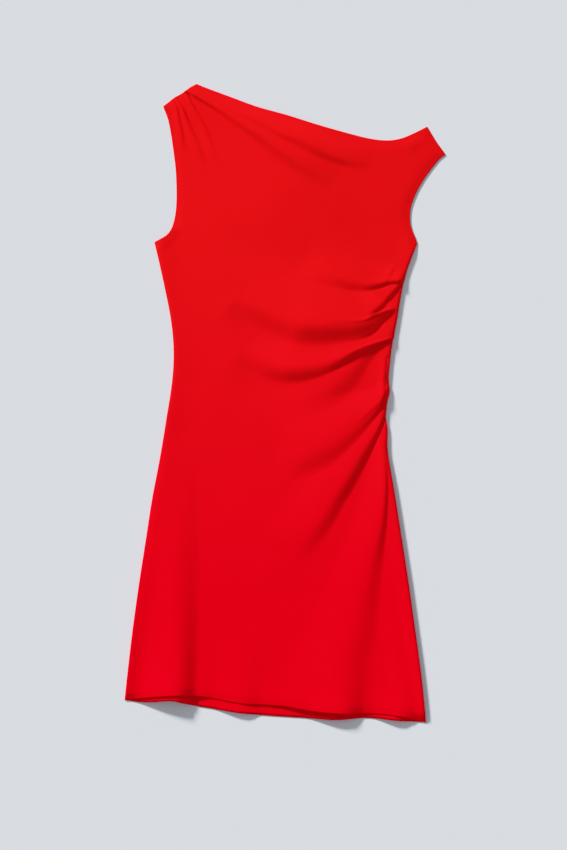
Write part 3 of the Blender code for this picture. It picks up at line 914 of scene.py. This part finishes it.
def cloth_shell(name, face, wall, lowest=0.0):
    """A closed mesh: the face, an inner side at half its fineness, and the rim."""
    inner = (face - wall * face_directions(face))[::2, ::2]
    inner[..., 2] = np.maximum(inner[..., 2], lowest)
    outer_number = np.arange(face.shape[0] * face.shape[1]).reshape(face.shape[:2])
    inner_number = np.arange(inner.shape[0] * inner.shape[1]).reshape(inner.shape[:2])
    inner_number += outer_number.size
    outer_rim = around(outer_number)
    inner_rim = around(inner_number)
    rim = np.stack(
        (outer_rim[::2], inner_rim, np.roll(inner_rim, -1), np.roll(outer_rim, -2)[::2],
         outer_rim[1::2]),
        axis=-1,
    )
    faces = (
        grid_faces(outer_number).tolist()
        + grid_faces(inner_number)[:, ::-1].tolist()
        + rim.tolist()
    )
    mesh = bpy.data.meshes.new(name)
    points = np.concatenate((face.reshape(-1, 3), inner.reshape(-1, 3)))
    mesh.from_pydata(points.tolist(), [], faces)
    mesh.shade_smooth()
    piece = bpy.data.objects.new(name, mesh)
    bpy.context.scene.collection.objects.link(piece)
    mesh.calc_loop_triangles()
    print(name, len(mesh.loop_triangles), "triangles")
    return piece


dress_back = cloth_shell("dress_back", back_face_points, WALL)
dress_front = cloth_shell("dress_front", front_face_points, WALL, lowest=WALL + LAYER_GAP)

# %% [markdown]
# ## Red jersey
#
# Viscose jersey is matt, with the faint sheen of its nap. Seen close it has fine upright
# wales. The yarn is a little uneven, so short crosswise slubs, a centimetre or two long,
# catch the light here and there. All of it is far finer than the folds, so it is bump and
# a slight change of colour. Two broad changes of colour are painted light: a lighter, more
# orange red over the upper part paints the lamp's sheen, and a darker red over the right of
# the bodice paints shade.

# %% Jersey material
WALE_PITCH = 0.0009
WAVE_TURN = 20                # radians that the wave texture turns in one unit of length
SLUB_LENGTH, SLUB_HEIGHT = 0.020, 0.0013
LIGHT_SLUB, DARK_SLUB = 0.62, 0.36   # of the noise from 0 to 1
# Slubs show fully on the bodice: their share at the middle, its climb, and the least.
SLUBS_MIDDLE, SLUBS_CLIMB, SLUBS_LEAST = 0.75, 1.8, 0.35
MOTTLE_SCALE = 9.0
# How much mottle, slubs and a painted shade over the right of the bodice change the plain shade.
PLAIN_SHADE, MOTTLE_SHADE, SLUB_SHADE, PAINTED_RIGHT_SHADE = 0.975, 0.05, 0.75, 0.12
# The painted shade starts this far left of and below the middle, and deepens so much a metre right
# and up.
PAINTED_SHADE_BEYOND, PAINTED_SHADE_CLIMB = 0.05, 3.0
SLUB_RELIEF, WALE_RELIEF = 3.0, 0.25
BUMP_STRENGTH, BUMP_DEPTH = 0.35, 0.0003
# The red with painted sheen is this share of the colour at the middle, and climbs by so much a
# metre.
PAINTED_SHEEN_MIDDLE, PAINTED_SHEEN_CLIMB = 0.55, 2.2
# The plain red, and a lighter, more orange red that paints the lamp's sheen over the upper part.
PLAIN_RED = (0.862, 0.0001, 0.0070, 1.0)
PAINTED_SHEEN_RED = (0.870, 0.0042, 0.0060, 1.0)
NAP_TINT = (1.0, 0.12, 0.10, 1.0)


# skirt is the plain red, and bodice the red with the lamp's sheen painted in.
def jersey(name, skirt, bodice):
    cloth = Shader(name)
    place = cloth.node("ShaderNodeTexCoord", output="Object")
    slub_place = cloth.node(
        "ShaderNodeMapping", {}, {"Vector": place, "Scale": (1 / SLUB_LENGTH, 1 / SLUB_HEIGHT, 0.0)}
    )
    noise = cloth.node(
        "ShaderNodeTexNoise", {}, {"Vector": slub_place, "Scale": 1.0, "Detail": 1.0}
    )
    across = cloth.node("ShaderNodeSeparateXYZ", {}, {"Vector": place}, output="X")
    upwards = cloth.node("ShaderNodeSeparateXYZ", {}, {"Vector": place}, output="Y")
    on_bodice = (upwards * SLUBS_CLIMB + SLUBS_MIDDLE).over(SLUBS_LEAST)
    slubs = ((noise - LIGHT_SLUB).over(0.0) - (DARK_SLUB - noise).over(0.0)) * on_bodice
    wales = cloth.node(
        "ShaderNodeTexWave",
        {"wave_type": "BANDS", "bands_direction": "X", "wave_profile": "SIN"},
        {
            "Vector": place,
            "Scale": 2 * pi / (WAVE_TURN * WALE_PITCH),
            "Distortion": 0.6,
            "Detail": 1.0,
        },
        output="Fac",
    )
    mottle = cloth.node(
        "ShaderNodeTexNoise", {}, {"Vector": place, "Scale": MOTTLE_SCALE, "Detail": 2.0}
    )
    # Painted sheen: mixed in by height, the red turns lighter and more orange towards the top.
    red = cloth.node(
        "ShaderNodeMix",
        {"data_type": "RGBA"},
        {"Factor": upwards * PAINTED_SHEEN_CLIMB + PAINTED_SHEEN_MIDDLE, "A": skirt, "B": bodice},
        output="Result",
    )
    # Painted shade: the red darkens towards the upper right of the bodice; the sum below adds it to
    # the real mottle and slubs.
    painted_shade_across = ((across + PAINTED_SHADE_BEYOND) * PAINTED_SHADE_CLIMB).over(0.0)
    painted_shade_right = painted_shade_across * ((upwards + PAINTED_SHADE_BEYOND) * PAINTED_SHADE_CLIMB).over(0.0)
    shade = mottle * MOTTLE_SHADE + slubs * SLUB_SHADE - painted_shade_right * PAINTED_RIGHT_SHADE + PLAIN_SHADE
    colour = cloth.node(
        "ShaderNodeVectorMath", {"operation": "SCALE"}, {"Vector": red, "Scale": shade}
    )
    yarn = slubs * SLUB_RELIEF + wales * WALE_RELIEF
    bump = cloth.node(
        "ShaderNodeBump",
        {},
        {"Strength": BUMP_STRENGTH, "Distance": BUMP_DEPTH, "Height": yarn},
    )
    return cloth.finish(
        {
            "Roughness": 0.82,
            "Metallic": 0.0,
            "Specular IOR Level": 0.0,
            "Sheen Weight": 0.03,
            "Sheen Roughness": 0.30,
            "Sheen Tint": NAP_TINT,
        },
        {"Base Color": colour, "Normal": bump},
    )


front_jersey = jersey("red_jersey_front", PLAIN_RED, PAINTED_SHEEN_RED)
back_jersey = jersey("red_jersey_back", PLAIN_RED, PAINTED_SHEEN_RED)
dress_front.data.materials.append(front_jersey)
dress_back.data.materials.append(back_jersey)
print("materials", front_jersey.name, back_jersey.name)

# %% [markdown]
# ## Putting it together
#
# Each piece rides on the part's one body and stands for its solid in the imported model,
# which is hidden. The front is cut larger than it shows, for the pleats and gathers.

for piece, node, slot in (
    (dress_back, "back_panel", "back_jersey"),
    (dress_front, "front_panel", "front_jersey"),
):
    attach(piece, "root")
    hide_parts(node)
